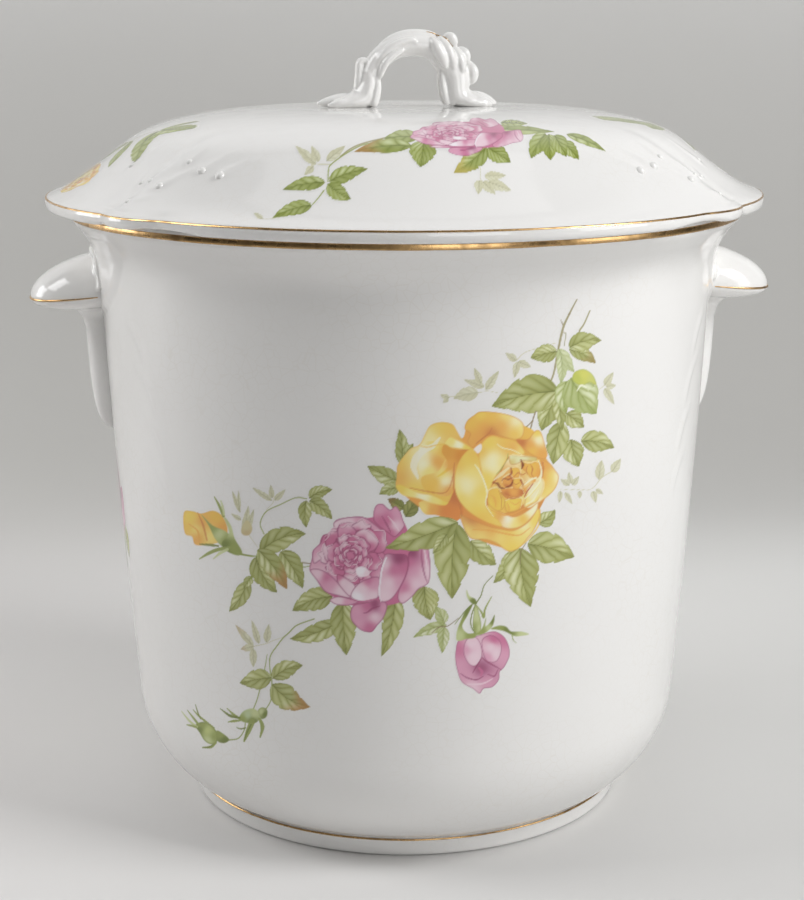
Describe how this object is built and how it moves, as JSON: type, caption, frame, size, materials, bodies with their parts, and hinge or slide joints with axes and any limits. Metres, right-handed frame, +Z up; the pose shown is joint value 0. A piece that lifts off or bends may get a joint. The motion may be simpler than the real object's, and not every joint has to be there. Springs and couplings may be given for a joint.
{
  "type": "covered slop jar",
  "caption": "Tall glazed earthenware slop jar with a flared rim, ear handles at its sides and a domed lid with a leaf loop handle, decorated with rose sprays and gilt lines.",
  "frame": {"origin": "centre of the foot ring, on the surface that the jar stands on", "axes": "+Z up along the jar's axis, +X through the right ear handle, -Y towards the front spray"},
  "size_m": [0.319, 0.303, 0.3309],
  "materials": {
    "glaze": "glossy white glaze with fine crazing",
    "gilt": "worn bright gilding"
  },
  "bodies": {
    "jar": {"jar_body": "glaze", "left_handle": "glaze", "right_handle": "glaze", "rim_gilt_band": "gilt", "foot_gilt_line": "gilt"},
    "lid": {"lid": "glaze", "lid_handle": "glaze", "lid_gilt_line": "gilt"}
  },
  "joints": [
    {"name": "lid_lift", "type": "slide", "parent": "jar", "child": "lid", "axis": [0, 0, 1], "range_m": [0, 0.25]}
  ]
}
